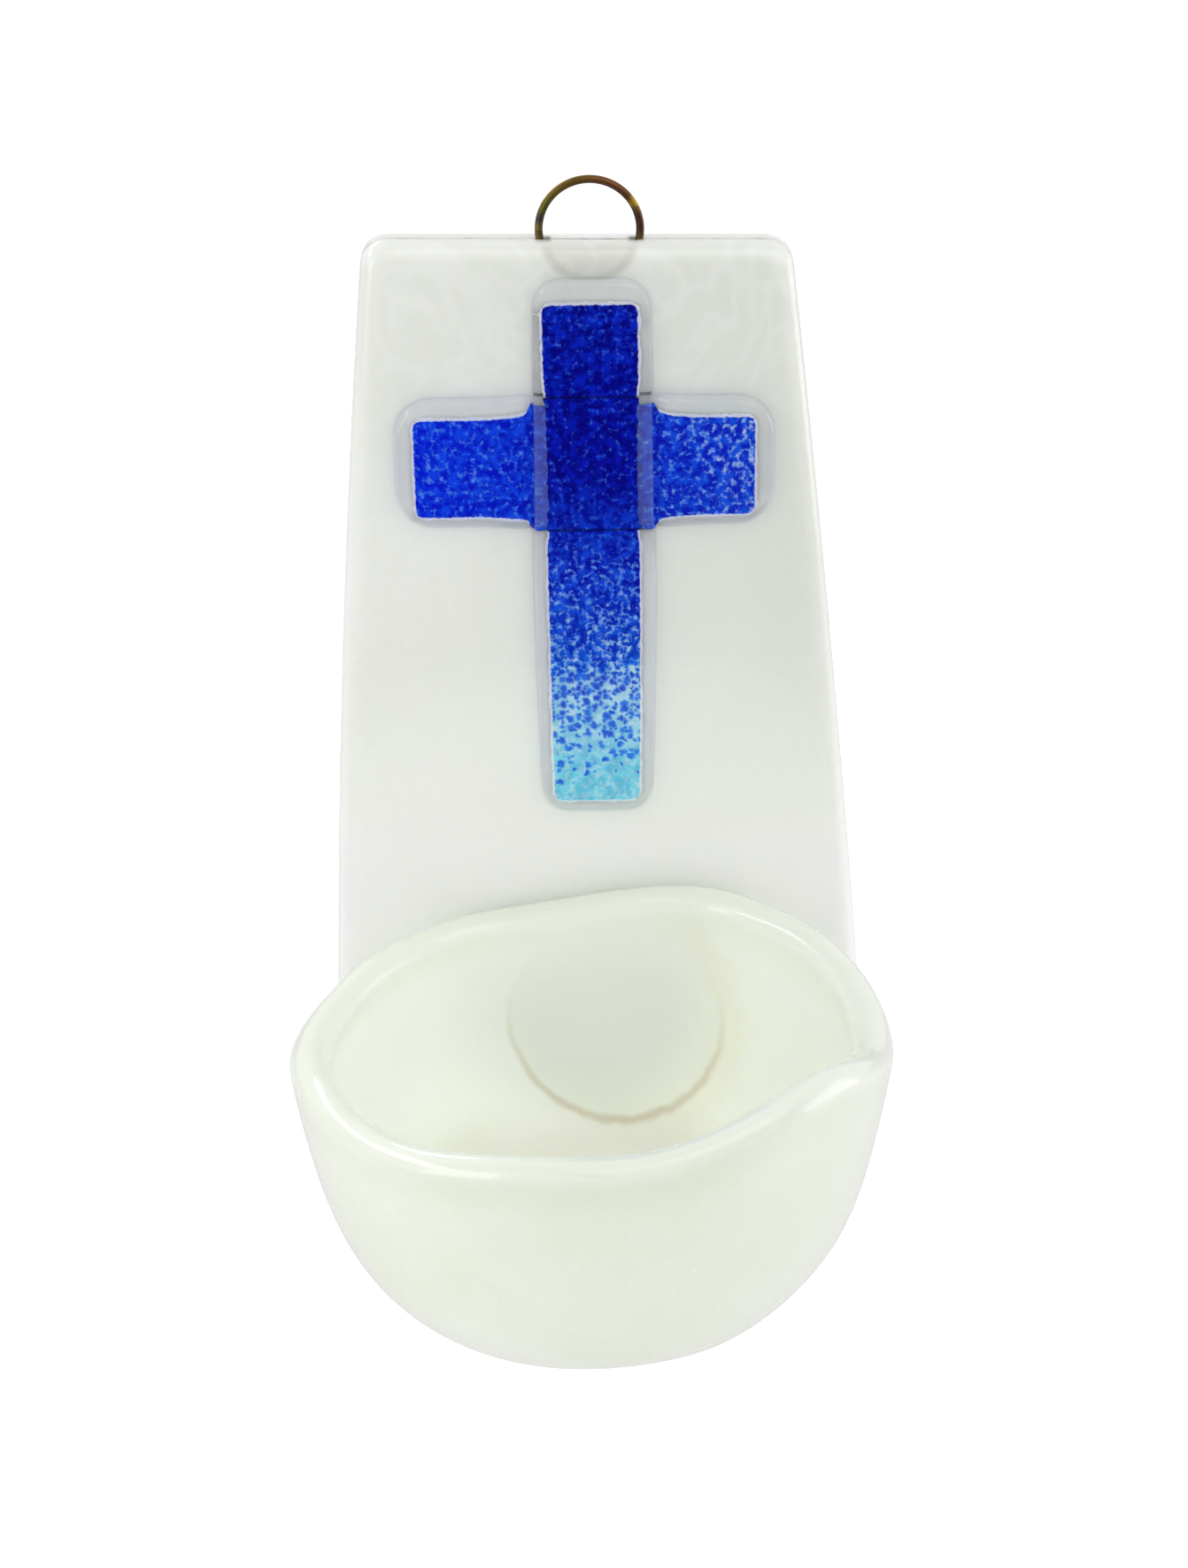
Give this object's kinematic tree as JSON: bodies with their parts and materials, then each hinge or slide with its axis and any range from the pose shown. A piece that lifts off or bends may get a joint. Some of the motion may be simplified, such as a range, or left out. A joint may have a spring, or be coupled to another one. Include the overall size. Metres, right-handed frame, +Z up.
{
  "type": "holy water stoup",
  "caption": "Wall-hung holy water stoup of kiln-formed glass: tapered milky plate with an inlaid cross, wire hanging ring and a slumped round bowl with a rippled rim.",
  "frame": {"origin": "on the flat wall face of the plate, halfway up it, on the plate's middle line", "axes": "+Z up, +Y into the wall, out of the plate's flat back, +X to the viewer's right; the bowl stands out along -Y"},
  "size_m": [0.0789, 0.0818, 0.1447],
  "materials": {
    "milky_glass": "fire-polished, faintly wavy, translucent milky white with a green-grey cast",
    "bowl_glass": "fire-polished, satin outside from the mould, translucent milky white with a green cast",
    "clear_glass": "fire-polished, clear with fine seeds",
    "cobalt_grit": "fused grains, cobalt blue, speckled",
    "turquoise_grit": "fused grains, turquoise with blue specks",
    "fired_wire": "heat-oxidised, mottled bronze, gold and olive",
    "adhesive": "clear cured adhesive, satin"
  },
  "bodies": {
    "root": {"back_sheet": "milky_glass", "front_sheet": "milky_glass", "hanging_ring": "fired_wire", "cross_bar": "clear_glass", "cross_bar_grit": "cobalt_grit", "cross_upright": "clear_glass", "cross_upright_grit_blue": "cobalt_grit", "cross_upright_grit_turquoise": "turquoise_grit", "bond_disc": "adhesive", "bowl": "bowl_glass"}
  },
  "joints": []
}
